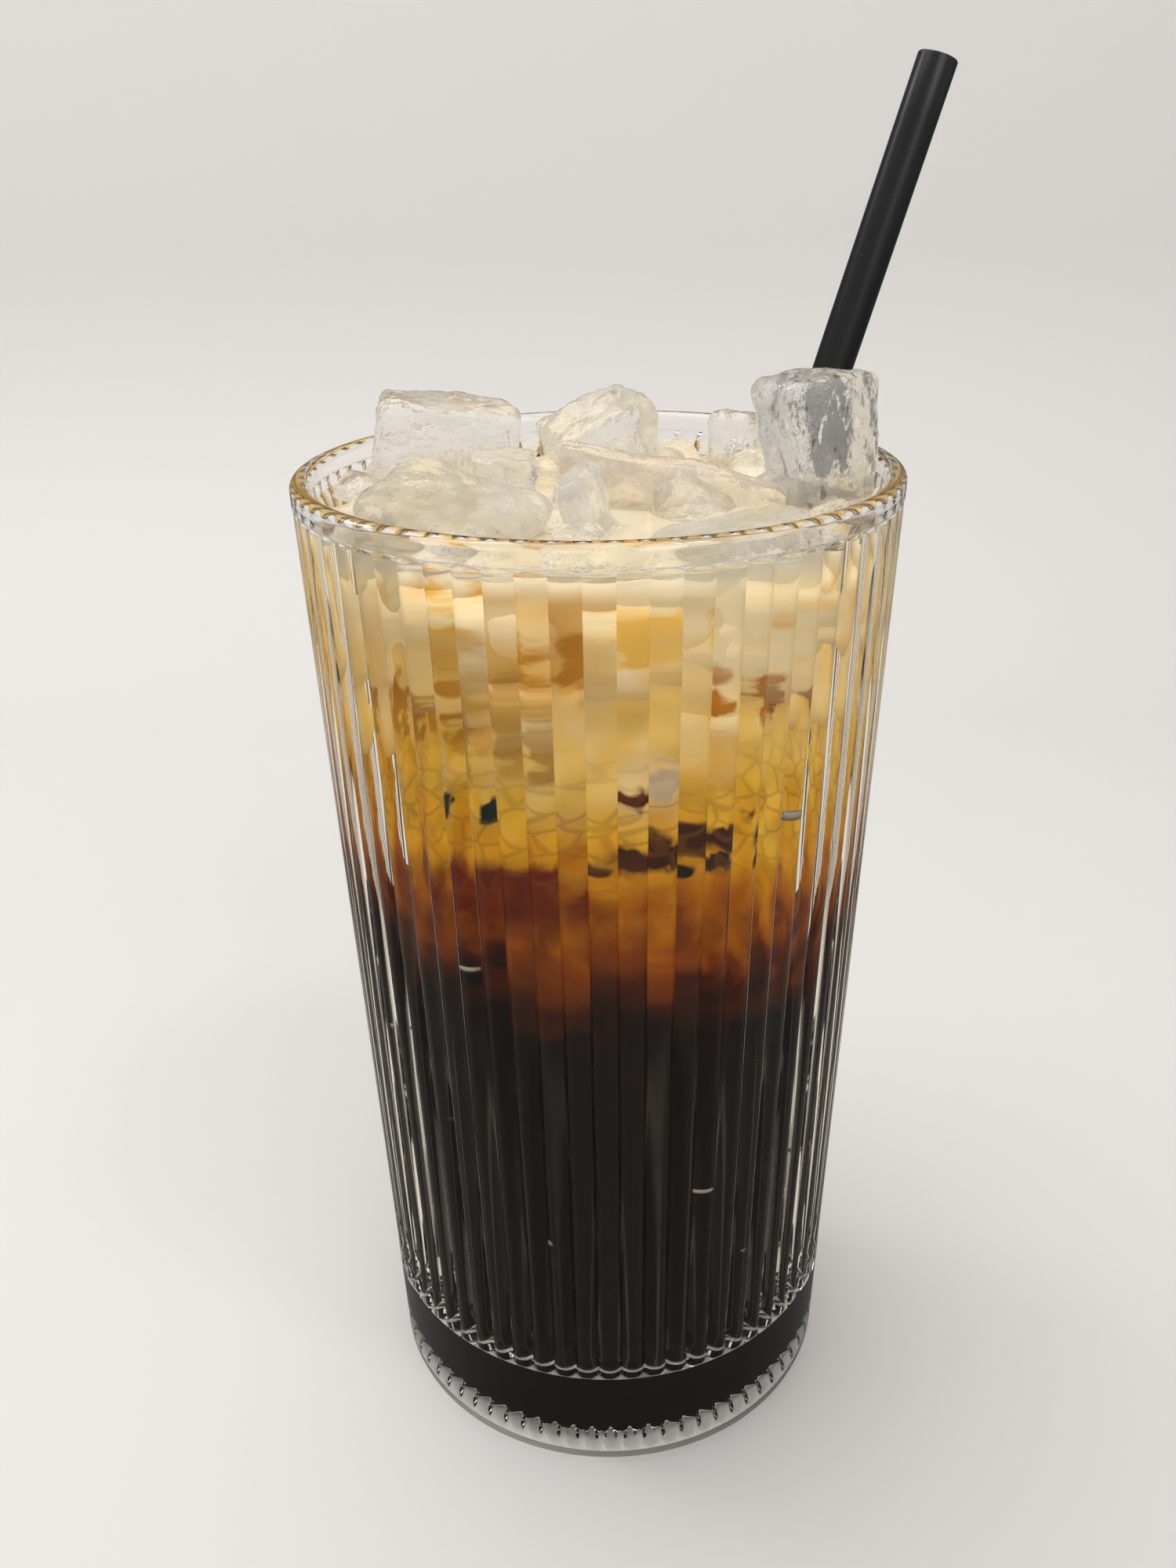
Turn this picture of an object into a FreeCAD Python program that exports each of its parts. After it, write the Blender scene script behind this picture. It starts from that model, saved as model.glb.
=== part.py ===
"""Iced coffee in a ribbed highball glass, with a straw.

The glass stands on its foot at z = 0, with the axis of the glass on the Z axis. The front of the drink faces -Y.
The glass, three layers of coffee, nine blocks of ice that stand out of the drink, and the straw are one solid each.
"""
import FreeCAD, Part
import math
import os

# Driving sizes, in millimetres and degrees.
GLASS = {
    "glass_height": 150.0,    # table to the top of the lip
    "foot_radius": 35.75,     # rib crests, carried down to the table
    "rim_radius": 41.05,      # rib crests, carried up to the lip
    "rib_count": 66,
    "rib_depth": 0.75,        # crest to valley
    "band_height": 3.9,       # smooth band below the lip, where the ribs end
    "band_slope": 0.9,        # height of the sloped underside of that band
    "band_proud": 0.1,        # this band and the plain base stand out from the crests by this
    "lip_thickness": 2.4,
    "lip_round": 1.1,
    "rib_start": 3.8,         # floor of the cavity to the foot of the ribs; below them the base is plain
    "rib_runout": 0.5,        # height of the slope in which the ribs end there
    "wall_low": 5.0,          # wall at the floor, crest to cavity
    "base_thickness": 16.0,   # table to the floor of the cavity
    "floor_round": 4.0,       # corner between the floor and the wall
    "heel_round": 3.2,
    "heel_margin": 0.45,      # the heel's round cuts the crests off this far inside its side
    "foot_ring": 4.4,         # width of the ring that the glass stands on
    "punt_depth": 3.9,        # hollow under the base
    "punt_slope": 11.0,       # width of the punt's sloped side
    "punt_round": 2.0,
}
DRINK = {
    "drink_level": 5.0,       # lip to the surface of the drink
    "dark_depth": 77.0,       # floor to the top of the dark coffee, on the axis
    "dark_tilt": 5.0,         # the dark coffee stands higher on the left
    "milky_depth": 25.0,      # surface to the underside of the milky coffee, on the axis
    "milky_tilt": -2.0,
}
STRAW = {
    "straw_radius": 2.8,
    "straw_wall": 0.45,
    "straw_length": 192.5,
    "straw_bearing": 28.4,    # direction, from +X towards +Y, in which the straw leans on the lip
    "straw_foot_x": -11.5,
    "straw_foot_y": -0.5,
    "straw_floor_gap": 0.3,
    "straw_lip_gap": 0.45,    # level with the lip, which is about 0.3 square to the leaning straw
}
# Blocks of ice. across and back: centre, as shares of the cavity's radius at the lip. above: centre above the drink.
# length, width and height; taper: length and width at the bottom over those at the top; turned, dipped and rolled:
# turn about Z, then about the block's own Y and X; melt: radius of the melted edges.
ICE_KEYS = ("across", "back", "above", "length", "width", "height", "taper", "turned", "dipped", "rolled", "melt")
ICE = {
    "ice_right": (0.774, 0.026, 4.6, 13.6, 12.0, 20.0, 0.86, 33.0, -5.0, -3.0, 1.6),
    "ice_back_left": (-0.572, 0.259, 1.0, 20.0, 12.5, 20.0, 0.97, 8.0, 9.0, 0.0, 1.8),
    "ice_front_left": (-0.492, -0.392, -2.5, 22.0, 17.0, 16.0, 0.9, -26.0, 12.0, 10.0, 3.2),
    "ice_middle": (-0.35, -0.03, -0.6, 10.0, 7.5, 16.0, 0.9, 10.0, 8.0, 10.0, 1.5),
    "ice_slab": (0.22, -0.09, -3.5, 31.0, 3.5, 20.0, 0.97, -12.0, 11.0, 14.0, 0.9),
    "ice_lean": (-0.013, -0.401, -1.2, 3.0, 13.0, 17.0, 0.95, -14.0, -14.0, 0.0, 0.8),
    "ice_back": (0.039, 0.44, 1.4, 15.0, 11.0, 18.0, 0.9, 22.0, -20.0, 8.0, 1.6),
    "ice_mound": (0.53, 0.53, 0.0, 8.5, 10.0, 16.0, 0.95, -8.0, 0.0, -12.0, 2.4),
    "ice_front_right": (0.44, -0.57, -5.6, 19.0, 12.0, 16.0, 0.92, 20.0, -5.0, -6.0, 1.8),
}

doc = FreeCAD.newDocument("IcedCoffee")
sheet = doc.addObject("Spreadsheet::Sheet", "Sizes")


def fill_sheet():
    """Writes every driving size into a cell of its own, with its name as the alias."""
    cells = {**GLASS, **DRINK, **STRAW}
    for name, values in ICE.items():
        for key, value in zip(ICE_KEYS, values, strict=True):
            cells[f"{name}_{key}"] = value
    for row, (alias, value) in enumerate(cells.items(), start=1):
        sheet.set(f"A{row}", alias)
        sheet.set(f"B{row}", str(value))
        sheet.setAlias(f"B{row}", alias)
    doc.recompute()


def size(alias):
    """The value of one cell of the sheet."""
    return float(sheet.get(alias))


def add(kind, label, **expressions):
    """Adds an object of the given kind, with its sizes bound to the sheet."""
    item = doc.addObject(kind, label)
    item.Label = label
    for name, expression in expressions.items():
        item.setExpression(name.replace("__", "."), expression)
    return item


def boolean(kind, label, base, tool):
    """Cut, Fuse or Common of two objects."""
    item = doc.addObject(f"Part::{kind}", label)
    item.Label = label
    item.Base = base
    item.Tool = tool
    return item


def rounded(label, base, radius, wanted=lambda edge: True):
    """Rounds those edges of an object for which wanted() is true."""
    doc.recompute()
    item = doc.addObject("Part::Fillet", label)
    item.Label = label
    item.Base = base
    item.Edges = [(n, radius, radius) for n, edge in enumerate(base.Shape.Edges, start=1) if wanted(edge)]
    return item


def circle_at(height):
    """A test for the round edges that lie at one height."""
    def found(edge):
        flat = edge.BoundBox.ZLength < 1e-6 and abs(edge.BoundBox.ZMin - height) < 1e-6
        return flat and isinstance(edge.Curve, Part.Circle)
    return found


def crest_radius(height):
    """Expression for the radius of the rib crests at a height, itself an expression."""
    return f"(Sizes.foot_radius + (Sizes.rim_radius - Sizes.foot_radius) * ({height}) / Sizes.glass_height)"


def rib_outline(label, radius, height):
    """Closed outline of the ribbed wall at one height: one arc for each rib, from valley over crest to valley."""
    count = int(size("rib_count"))
    pitch = 2 * math.pi / count
    valley = radius - size("rib_depth")

    def point(distance, angle):
        return FreeCAD.Vector(distance * math.cos(angle), distance * math.sin(angle), height)

    arcs = []
    for k in range(count):
        crest = k * pitch - math.pi / 2
        ends = [point(valley, crest + side * pitch / 2) for side in (-1, 1)]
        arcs.append(Part.Arc(ends[0], point(radius, crest), ends[1]).toShape())
    outline = add("Part::Feature", label)
    outline.Shape = Part.Wire(arcs)
    return outline


def plain_base():
    """The plain base below the ribs. Its top slopes inwards, so that each rib starts from a small arch."""
    middle = "Sizes.base_thickness + Sizes.rib_start - Sizes.rib_runout"
    foot = "Sizes.base_thickness + Sizes.rib_start"
    side = add(
        "Part::Cone",
        "base_side",
        Radius1="Sizes.foot_radius + Sizes.band_proud",
        Radius2=f"{crest_radius(middle)} + Sizes.band_proud",
        Height=middle,
    )
    slope = add(
        "Part::Cone",
        "base_slope",
        Radius1=f"{crest_radius(middle)} + Sizes.band_proud",
        Radius2=f"{crest_radius(foot)} + Sizes.band_proud - Sizes.rib_depth - Sizes.rib_runout / 2",
        Height="Sizes.rib_runout",
        Placement__Base__z=middle,
    )
    return boolean("Fuse", "plain_base", side, slope)


def ribbed_body():
    """The ribs as one ruled loft up into the smooth band, standing on the plain base, with the heel rounded off."""
    top = size("glass_height") - size("band_height") + size("band_slope")
    growth = (size("rim_radius") - size("foot_radius")) / size("glass_height")
    ribs = add("Part::Loft", "ribs")
    ribs.Sections = [
        rib_outline("ribs_low", size("foot_radius"), 0.0),
        rib_outline("ribs_high", size("foot_radius") + growth * top, top),
    ]
    ribs.Solid = True
    ribs.Ruled = True
    side = add(
        "Part::Cone",
        "heel_side",
        Radius1="Sizes.foot_radius + Sizes.heel_margin",
        Radius2="Sizes.rim_radius + Sizes.heel_margin",
        Height="Sizes.glass_height",
    )
    heel = rounded("heel", side, size("heel_round"), circle_at(0.0))
    standing = boolean("Fuse", "ribs_on_base", ribs, plain_base())
    return boolean("Common", "ribbed_body", standing, heel)


def cavity():
    """The inside of the glass, with a round corner at its floor, carried up to the top of the lip."""
    floor_radius = f"{crest_radius('Sizes.base_thickness')} - Sizes.wall_low"
    cone = add(
        "Part::Cone",
        "cavity_cone",
        Radius1=floor_radius,
        Radius2="Sizes.rim_radius - Sizes.lip_thickness",
        Height="Sizes.glass_height - Sizes.base_thickness",
        Placement__Base__z="Sizes.base_thickness",
    )
    return rounded("cavity", cone, size("floor_round"), circle_at(size("base_thickness")))


def lip_band(inside):
    """The smooth band with its full round lip. Its underside slopes, so that each rib ends in a small arch."""
    bottom = "Sizes.glass_height - Sizes.band_height"
    middle = f"{bottom} + Sizes.band_slope"
    underside = add(
        "Part::Cone",
        "band_underside",
        Radius1=f"{crest_radius(bottom)} + Sizes.band_proud - Sizes.rib_depth - Sizes.band_slope / 4",
        Radius2=f"{crest_radius(middle)} + Sizes.band_proud",
        Height="Sizes.band_slope",
        Placement__Base__z=bottom,
    )
    side = add(
        "Part::Cone",
        "band_side",
        Radius1=f"{crest_radius(middle)} + Sizes.band_proud",
        Radius2="Sizes.rim_radius + Sizes.band_proud",
        Height="Sizes.band_height - Sizes.band_slope",
        Placement__Base__z=middle,
    )
    band = boolean("Fuse", "band", underside, side)
    ring = boolean("Cut", "band_ring", band, inside)
    return rounded("lip_band", ring, size("lip_round"), circle_at(size("glass_height")))


def punt():
    """The hollow under the base, inside the ring on which the glass stands."""
    mouth = "Sizes.foot_radius - Sizes.rib_depth - Sizes.foot_ring"
    cone = add(
        "Part::Cone",
        "punt_cone",
        Radius1=mouth,
        Radius2=f"{mouth} - Sizes.punt_slope",
        Height="Sizes.punt_depth",
    )
    return rounded("punt", cone, size("punt_round"), circle_at(size("punt_depth")))


def glass(inside):
    """The ribbed wall and base with the lip on top, hollowed out."""
    hollow = boolean("Cut", "ribbed_shell", ribbed_body(), inside)
    footed = boolean("Cut", "ribbed_foot", hollow, punt())
    return boolean("Fuse", "glass", footed, lip_band(inside))


def straw_placement():
    """The straw stands on the floor and leans on the inside of the lip."""
    radius = size("straw_radius")
    bearing = math.radians(size("straw_bearing"))
    reach = size("rim_radius") - size("lip_thickness") - radius - size("straw_lip_gap")
    lip_height = size("glass_height") - size("lip_round")
    at_lip = FreeCAD.Vector(reach * math.cos(bearing), reach * math.sin(bearing), lip_height)
    foot = FreeCAD.Vector(size("straw_foot_x"), size("straw_foot_y"), size("base_thickness"))
    lean = (at_lip - foot).getAngle(FreeCAD.Vector(0, 0, 1))
    foot.z += radius * math.sin(lean) + size("straw_floor_gap")
    return FreeCAD.Placement(foot, FreeCAD.Rotation(FreeCAD.Vector(0, 0, 1), at_lip - foot))


def straw_rod(label, radius, place):
    """A round rod along the whole straw."""
    rod = add("Part::Cylinder", label, Radius=radius, Height="Sizes.straw_length")
    rod.Placement = place
    return rod


def straw(envelope, place):
    """The straw: its round envelope, bored through."""
    bore = straw_rod("straw_bore", "Sizes.straw_radius - Sizes.straw_wall", place)
    return boolean("Cut", "straw", envelope, bore)


def ice_block(name):
    """A block of ice: a wedge that narrows downwards, with melted edges, tipped as it floats."""
    value = {key: size(f"{name}_{key}") for key in ICE_KEYS}
    half = {
        "Xmin": "-Sizes.{0}_length * Sizes.{0}_taper / 2",
        "Xmax": "Sizes.{0}_length * Sizes.{0}_taper / 2",
        "Zmin": "-Sizes.{0}_width * Sizes.{0}_taper / 2",
        "Zmax": "Sizes.{0}_width * Sizes.{0}_taper / 2",
        "Ymin": "-Sizes.{0}_height / 2",
        "Ymax": "Sizes.{0}_height / 2",
        "X2min": "-Sizes.{0}_length / 2",
        "X2max": "Sizes.{0}_length / 2",
        "Z2min": "-Sizes.{0}_width / 2",
        "Z2max": "Sizes.{0}_width / 2",
    }
    wedge = add("Part::Wedge", f"{name}_wedge", **{key: text.format(name) for key, text in half.items()})
    inner_rim = size("rim_radius") - size("lip_thickness")
    centre = FreeCAD.Vector(
        value["across"] * inner_rim,
        value["back"] * inner_rim,
        size("glass_height") - size("drink_level") + value["above"],
    )
    tipped = FreeCAD.Rotation(value["turned"], value["dipped"], value["rolled"])
    upright = FreeCAD.Rotation(FreeCAD.Vector(1, 0, 0), 90)
    wedge.Placement = FreeCAD.Placement(centre, tipped * upright)
    return rounded(name, wedge, value["melt"])


def space_below(label, height, tilt):
    """A block that fills all of the glass below a sloping plane, which crosses the axis at the given height."""
    reach = 4 * size("rim_radius")
    block = doc.addObject("Part::Box", label)
    block.Label = label
    block.Length = reach
    block.Width = reach
    block.Height = reach
    corner = FreeCAD.Vector(-reach / 2, -reach / 2, -reach)
    slope = FreeCAD.Rotation(FreeCAD.Vector(0, 1, 0), tilt)
    block.Placement = FreeCAD.Placement(FreeCAD.Vector(0, 0, height) + slope.multVec(corner), slope)
    return block


def coffee(inside, envelope, ice):
    """The drink in three layers. Each fills the cavity, and is cut round the straw and the ice."""
    surface = size("glass_height") - size("drink_level")
    drink = boolean("Common", "drink", inside, space_below("below_surface", surface, 0.0))
    around_straw = boolean("Cut", "drink_around_straw", drink, envelope)
    dark_top = space_below("below_dark_top", size("base_thickness") + size("dark_depth"), size("dark_tilt"))
    milky_foot = space_below("below_milky_foot", surface - size("milky_depth"), size("milky_tilt"))
    dark = boolean("Common", "dark_coffee", around_straw, dark_top)
    paler = boolean("Cut", "paler_coffee", around_straw, dark_top)
    amber = boolean("Common", "amber_coffee", paler, milky_foot)
    milky = boolean("Cut", "milky_coffee_whole", paler, milky_foot)
    for name, block in ice.items():
        milky = boolean("Cut", f"milky_coffee_round_{name}", milky, block)
    milky.Label = "milky_coffee"
    return [dark, amber, milky]


def check(parts):
    """Stops if any object failed, or if any sub-part isn't one valid solid."""
    for item in doc.Objects:
        if {"Invalid", "Error"} & set(item.State):
            raise RuntimeError(f"{item.Label} failed: {item.State}")
    for part in parts:
        if part.Shape.isNull() or not part.Shape.isValid() or len(part.Shape.Solids) != 1:
            raise RuntimeError(f"{part.Label} isn't one valid solid")


def main():
    """Builds the drink and writes one STEP file for each sub-part."""
    fill_sheet()
    inside = cavity()
    place = straw_placement()
    envelope = straw_rod("straw_envelope", "Sizes.straw_radius", place)
    ice = {name: ice_block(name) for name in ICE}
    parts = [glass(inside), *coffee(inside, envelope, ice), *ice.values(), straw(envelope, place)]
    doc.recompute()
    check(parts)
    os.makedirs("parts", exist_ok=True)
    for part in parts:
        part.Shape.exportStep(f"parts/{part.Label}.step")
        print(part.Label, round(part.Shape.Volume), "mm3")


main()
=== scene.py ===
# Looks of an iced coffee in a ribbed highball glass: the glass, the drink, the ice and the straw.
import math

import bmesh
import bpy
import numpy as np
from mathutils import Matrix, Vector


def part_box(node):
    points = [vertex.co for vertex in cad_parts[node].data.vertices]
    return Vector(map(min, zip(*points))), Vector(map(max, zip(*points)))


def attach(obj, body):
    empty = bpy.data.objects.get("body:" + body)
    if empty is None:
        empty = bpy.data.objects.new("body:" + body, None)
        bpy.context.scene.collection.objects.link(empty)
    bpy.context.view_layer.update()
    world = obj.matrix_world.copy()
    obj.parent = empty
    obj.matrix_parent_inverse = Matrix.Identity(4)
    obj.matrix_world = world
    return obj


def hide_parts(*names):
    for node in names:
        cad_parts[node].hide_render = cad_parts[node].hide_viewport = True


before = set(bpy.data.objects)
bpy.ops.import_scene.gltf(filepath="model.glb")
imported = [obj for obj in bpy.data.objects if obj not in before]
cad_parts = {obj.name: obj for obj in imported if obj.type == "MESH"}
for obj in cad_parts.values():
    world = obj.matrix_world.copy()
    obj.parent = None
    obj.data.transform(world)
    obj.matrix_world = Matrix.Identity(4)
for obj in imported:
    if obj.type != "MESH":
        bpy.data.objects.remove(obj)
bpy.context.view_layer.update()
MM = 0.001

# Sizes in millimetres: the height from the frame, the others as the solids have them.
GLASS_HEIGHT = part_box("glass")[1][2] / MM
FOOT_RADIUS = 35.75
RIM_RADIUS = 41.05
RIB_COUNT = 66
RIB_DEPTH = 0.75
BAND_HEIGHT = 3.9
BAND_SLOPE = 0.9
BAND_PROUD = 0.08
LIP_THICKNESS = 2.4
LIP_ROUND = 1.15
WALL_LOW = 5.0
FLOOR_HEIGHT = 16.0
FLOOR_ROUND = 4.0
HEEL_ROUND = 3.2
HEEL_MARGIN = 0.45
HEEL_DRAFT = 0.035        # how much the side above the heel leans out, for each millimetre of height
FOOT_RING = 4.4
PUNT_DEPTH = 3.9
PUNT_SLOPE = 11.0
PUNT_STEEP = 0.86         # share of the punt's depth that its steep edge rises
PUNT_EDGE = 0.30          # width of that edge, as a share of the punt's slope
PUNT_RAYS = 0.38          # the pressed rays make the edge this share wider and narrower
RIB_FOOT = 19.8           # the ribs end here, above a plain base
RIB_RUNOUT = 0.5
DRINK_TOP = GLASS_HEIGHT - 5.0
MENISCUS = 0.9
MENISCUS_REACH = 1.1
INTO_WALL = 0.12          # the drink reaches this far into the wall, so that no air shows between them


# ---------------------------------------------------------------- meshes

def mesh_piece(name, points_mm, faces, material, sharp_degrees=40.0):
    """Makes a smooth-shaded piece from points in millimetres and a list or array of faces."""
    mesh = bpy.data.meshes.new(name)
    face_list = faces if isinstance(faces, list) else faces.tolist()
    mesh.from_pydata((np.asarray(points_mm) * MM).tolist(), [], face_list)
    mesh.validate()
    mesh.shade_smooth()
    mesh.set_sharp_from_angle(angle=math.radians(sharp_degrees))
    mesh.materials.append(material)
    piece = bpy.data.objects.new(name, mesh)
    bpy.context.scene.collection.objects.link(piece)
    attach(piece, "root")
    return piece


def turned_grid(radius, height, columns):
    """Points of a turned surface: x = r sin a, y = -r cos a, with the angle a from the front towards +X.
    radius and height are arrays of rows by columns, or have one value for each row."""
    angle = np.arange(columns) * 2 * math.pi / columns
    radius = np.broadcast_to(np.reshape(radius, (len(height), -1)), (len(height), columns))
    height = np.broadcast_to(np.reshape(height, (len(height), -1)), radius.shape)
    return np.stack([radius * np.sin(angle), -radius * np.cos(angle), height], -1)


def turned_faces(rows, columns):
    """Squares between neighbouring rows of a turned surface, and a fan of triangles at the pole of the first
    and of the last row. The rows run from the first pole round the outside, so the faces point outwards."""
    low = np.arange(rows - 1)[:, None] * columns + np.arange(columns)[None]
    right = np.arange(rows - 1)[:, None] * columns + np.roll(np.arange(columns), -1)[None]
    squares = np.stack([low, right, right + columns, low + columns], -1).reshape(-1, 4).tolist()
    ring = np.arange(columns)
    last = (rows - 1) * columns
    first_pole, last_pole = rows * columns, rows * columns + 1
    fans = np.stack([np.roll(ring, -1), ring, np.full(columns, first_pole)], -1).tolist()
    fans += np.stack([last + ring, last + np.roll(ring, -1), np.full(columns, last_pole)], -1).tolist()
    return squares + fans


def turned_piece(name, radius, height, columns, material, sharp_degrees=40.0):
    """A closed turned surface with a pole on the axis at each end."""
    grid = turned_grid(radius, height, columns)
    ends = np.array([[0, 0, grid[0, :, 2].mean()], [0, 0, grid[-1, :, 2].mean()]])
    points = np.concatenate([grid.reshape(-1, 3), ends])
    return mesh_piece(name, points, turned_faces(len(grid), columns), material, sharp_degrees)


def ripple(points, pitch, seed, octaves=3):
    """Smooth noise between about -1 and 1: sines along seeded directions, each octave twice as fine and half
    as high. pitch is the length of the longest wave."""
    rng = np.random.default_rng(seed)
    total = np.zeros(points.shape[:-1])
    for octave in range(octaves):
        directions = rng.normal(size=(6, 3))
        directions /= np.linalg.norm(directions, axis=1, keepdims=True)
        phases = rng.uniform(0, 2 * math.pi, 6)
        waves = np.sin(points @ directions.T * (2 * math.pi / pitch * 2 ** octave) + phases)
        total += waves.mean(-1) * 2 / 2 ** octave
    return total / 2


# ---------------------------------------------------------------- glass

def crest_radius(height):
    """Radius of the rib crests at a height: a straight taper from the table to the lip."""
    return FOOT_RADIUS + (RIM_RADIUS - FOOT_RADIUS) * height / GLASS_HEIGHT


def cavity_radius(height):
    """Radius of the inside of the glass above its floor: a straight taper."""
    floor_radius = crest_radius(FLOOR_HEIGHT) - WALL_LOW
    top_radius = RIM_RADIUS - LIP_THICKNESS
    taper = (top_radius - floor_radius) / (GLASS_HEIGHT - FLOOR_HEIGHT)
    return floor_radius + taper * (height - FLOOR_HEIGHT)


def rib_dip(columns):
    """How far the ribbed surface lies inside its crests, round the glass: each rib is an arc of a circle
    whose chord is the pitch and whose rise is the rib's depth, with a crest at the front."""
    share = (np.arange(columns) / columns * RIB_COUNT + 0.5) % 1 * 2 - 1
    half_pitch = math.pi * crest_radius(GLASS_HEIGHT / 2) / RIB_COUNT
    arc_radius = (half_pitch ** 2 + RIB_DEPTH ** 2) / (2 * RIB_DEPTH)
    return arc_radius - np.sqrt(arc_radius ** 2 - (share * half_pitch) ** 2)


def quarter(start, end, steps, first_axis):
    """A quarter of an ellipse between two points (radius, height). It leaves the first point along
    first_axis: 0 for the radius, 1 for the height."""
    t = np.linspace(0, math.pi / 2, steps + 1)[1:]
    shares = [np.sin(t), 1 - np.cos(t)]
    if first_axis == 1:
        shares = shares[::-1]
    start, end = np.array(start), np.array(end)
    return start + np.stack(shares, -1) * (end - start)


def assign_rows(piece, rows, columns, first_pole, last_pole):
    """Gives each row of squares of a turned piece, and the two fans, their material's number."""
    fans = [np.full(columns, first_pole), np.full(columns, last_pole)]
    numbers = np.concatenate([np.repeat(rows, columns), *fans])
    piece.data.polygons.foreach_set("material_index", numbers.astype(np.int32))


def glass_piece(material, wetted):
    """The ribbed glass. Its outside is, at each height, the ribbed surface, covered by the plain base below
    and by the smooth band above, and cut back to the round heel. The lip is two quarters of an ellipse.
    Inside are the tapered wall, the round corner and the floor. Below is the punt: a quarter of a sine,
    whose width swings with the cosine of the rays' angle, and inside it a shallow cone."""
    columns = RIB_COUNT * 12
    dip = rib_dip(columns)
    heel_side = FOOT_RADIUS + HEEL_MARGIN
    ring_outer = heel_side - HEEL_ROUND
    ring_inner = FOOT_RADIUS - RIB_DEPTH - FOOT_RING
    inward = 1.5 * np.linspace(1, 0, 25)[:, None] ** 1.6
    rays = 1 + PUNT_RAYS * np.cos(np.arange(columns) / columns * RIB_COUNT * 2 * math.pi)
    steep = PUNT_STEEP * np.sin(np.clip(inward / (PUNT_EDGE * rays), 0, 1) * math.pi / 2)
    cone = (1 - PUNT_STEEP) * (1 - (1 - np.clip(inward, 0, 1)) ** 1.35)
    under_height = np.concatenate([PUNT_DEPTH * (steep + cone), np.zeros((3, columns))])
    ring = np.linspace(ring_inner, ring_outer, 4)[1:, None]
    under_radius = np.concatenate([ring_inner - PUNT_SLOPE * inward, ring])
    band_low = GLASS_HEIGHT - BAND_HEIGHT - 0.6
    band_full = GLASS_HEIGHT - BAND_HEIGHT + BAND_SLOPE + 0.2
    lip_start = GLASS_HEIGHT - LIP_ROUND
    outside = np.concatenate([
        HEEL_ROUND * (1 - np.cos(np.linspace(0, math.pi / 2, 9)[1:])),
        np.linspace(HEEL_ROUND, RIB_FOOT - RIB_RUNOUT, 4)[1:],
        np.linspace(RIB_FOOT - RIB_RUNOUT, RIB_FOOT + 0.4, 12)[1:],
        np.linspace(RIB_FOOT + 0.4, band_low, 12)[1:],
        np.linspace(band_low, band_full, 16)[1:],
        np.linspace(band_full, lip_start, 4)[1:],
    ])
    heel_part = np.clip(outside / HEEL_ROUND, 0, 1)
    heel = ring_outer + HEEL_ROUND * np.sqrt(1 - (1 - heel_part) ** 2) + outside * HEEL_DRAFT
    band_part = (outside - (GLASS_HEIGHT - BAND_HEIGHT)) / BAND_SLOPE
    base_part = (RIB_FOOT - outside) / RIB_RUNOUT
    cover = np.maximum(np.clip(band_part, 0, 1), np.clip(base_part, 0, 1))
    band = crest_radius(outside) + BAND_PROUD - (RIB_DEPTH + 0.25) * (1 - cover)
    ribbed = crest_radius(outside)[:, None] - dip[None]
    wall = np.minimum(np.maximum(ribbed, band[:, None]), heel[:, None])
    lip_outer = crest_radius(lip_start) + BAND_PROUD
    lip_inner = cavity_radius(lip_start)
    middle = (lip_outer + lip_inner) / 2
    outer_lip = quarter((lip_outer, lip_start), (middle, GLASS_HEIGHT), 8, 1)
    lip = np.concatenate([outer_lip, quarter((middle, GLASS_HEIGHT), (lip_inner, lip_start), 8, 0)])
    wet_top = DRINK_TOP + MENISCUS - INTO_WALL
    dry = [(cavity_radius(z), z) for z in np.linspace(lip_start, wet_top, 4)[1:]]
    wet = [(cavity_radius(z), z) for z in np.linspace(wet_top, FLOOR_HEIGHT + FLOOR_ROUND, 10)[1:]]
    inside = dry + wet
    corner_end = (cavity_radius(FLOOR_HEIGHT) - FLOOR_ROUND, FLOOR_HEIGHT)
    inside += quarter(inside[-1], corner_end, 8, 1).tolist()
    inside += [(r, FLOOR_HEIGHT) for r in np.linspace(corner_end[0], 3.0, 6)[1:]]
    within = np.concatenate([lip, np.array(inside)])
    radius = np.concatenate([
        np.broadcast_to(under_radius, under_height.shape),
        wall,
        np.broadcast_to(within[:, :1], (len(within), columns)),
    ])
    level = np.concatenate([outside, within[:, 1]])
    height = np.concatenate([under_height, np.broadcast_to(level[:, None], (len(level), columns))])
    piece = turned_piece("glass_tumbler", radius, height, columns, material)
    piece.data.materials.append(wetted)
    dry_rows = len(under_height) + len(outside) + len(lip) + len(dry) - 1
    assign_rows(piece, np.arange(len(height) - 1) >= dry_rows, columns, 0, 1)
    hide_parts("glass")


# ---------------------------------------------------------------- drink

DARK_TOP = 86.0           # height at which the dark coffee leaves the wall, at the front
SKIN = 1.30               # the body stands this far inside the wall, behind a skin of clear drink
CORE_INSET = 4.0          # and the graded core above the dark coffee stands this much farther in
CORE_TOP = DRINK_TOP - 1.6
GRADE_START = 76.0        # from here up the body has close rows
GRADE_HEIGHT = 9.0        # over this height its side draws in from the wall to the core


def ragged_top(angle):
    """Height at which the dark coffee ends, round the glass: higher on the left, with uneven tongues."""
    tongues = 2.2 * np.sin(5 * angle + 0.6) + 1.5 * np.sin(9 * angle - 1.0) + 0.9 * np.sin(17 * angle + 2.0)
    return DARK_TOP - 3.5 * np.sin(angle) + tongues


def floor_draw(height):
    """How far the round corner of the glass's floor draws the side of the drink in."""
    low = np.clip((height - FLOOR_HEIGHT) / FLOOR_ROUND, 0, 1)
    return FLOOR_ROUND * (1 - np.sqrt(1 - (1 - low) ** 2))


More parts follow.
